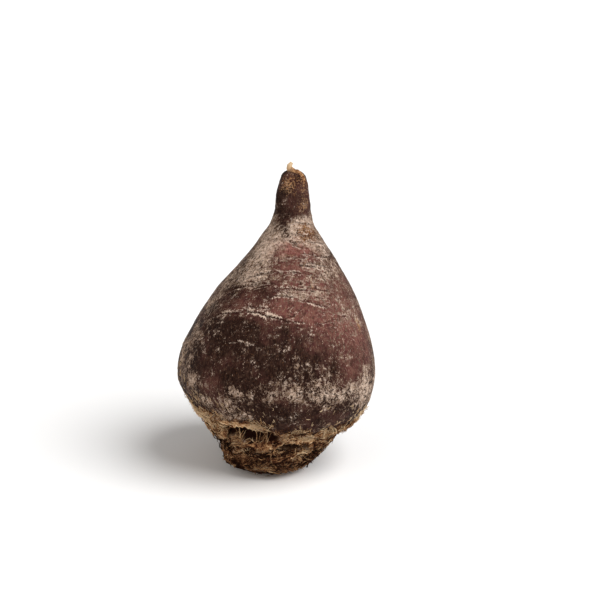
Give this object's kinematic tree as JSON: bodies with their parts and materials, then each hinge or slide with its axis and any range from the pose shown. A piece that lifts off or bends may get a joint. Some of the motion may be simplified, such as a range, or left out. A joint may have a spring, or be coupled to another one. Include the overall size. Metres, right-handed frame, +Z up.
{
  "type": "beetroot",
  "caption": "Topped beetroot: pear-shaped purple root with scurfy skin and a fibrous trimmed crown, standing on the crown with its tapered root end up.",
  "frame": {"origin": "middle of the flat cut face under the crown, on the surface that the root stands on", "axes": "+Z up, from the cut crown to the thin root end; +X to the right and +Y to the back as seen from the front; the root leans back and to the right a little"},
  "size_m": [0.0755, 0.0748, 0.1156],
  "materials": {
    "root_skin": "dry matte root skin, dark purple-brown under pale tan scurf and fine speckles, slightly satin where bare",
    "crown_fibre": "dry, frayed, fibrous leaf-stalk remains, tan to dark brown, fully matte"
  },
  "bodies": {
    "root": {"beetroot": "root_skin"}
  },
  "joints": []
}
